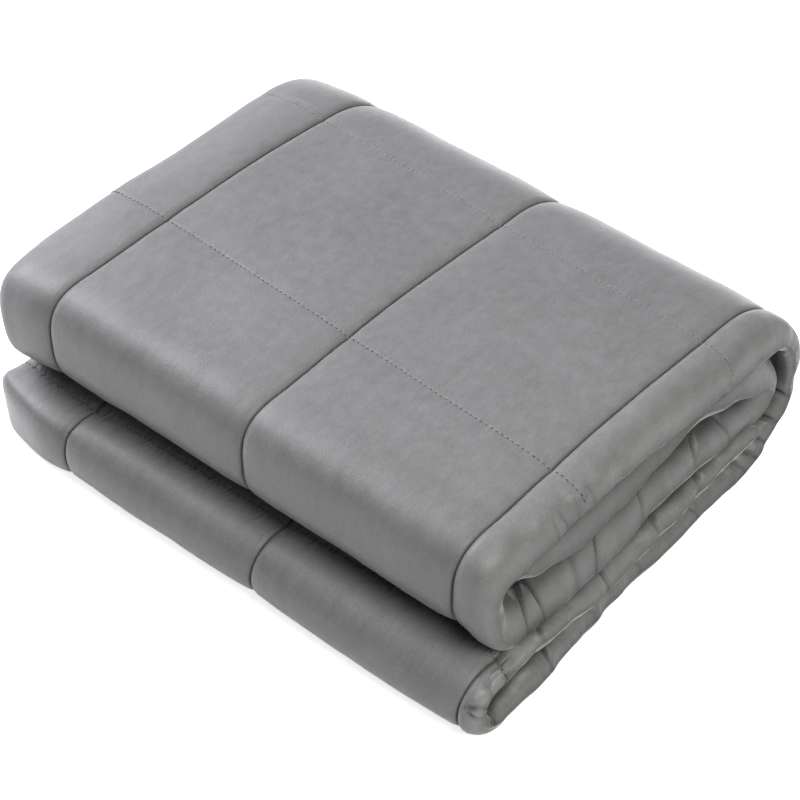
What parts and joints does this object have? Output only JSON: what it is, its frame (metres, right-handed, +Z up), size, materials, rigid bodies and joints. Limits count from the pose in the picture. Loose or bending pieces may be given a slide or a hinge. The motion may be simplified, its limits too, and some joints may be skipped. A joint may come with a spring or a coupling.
{
  "type": "folded weighted blanket",
  "caption": "Quilted weighted blanket folded into a flat rectangular pack, with a big upper fold over a lower one and its layers showing at one end.",
  "frame": {"origin": "centre of the pack's footprint, on the surface that it lies on", "axes": "+X across the cloth towards the end where its layers show, +Y from the front folds to the back, +Z up"},
  "size_m": [0.3302, 0.2832, 0.1109],
  "materials": {
    "grey_cloth": "smooth brushed cloth with a soft sheen"
  },
  "bodies": {
    "root": {"quilted_blanket": "grey_cloth"}
  },
  "joints": []
}
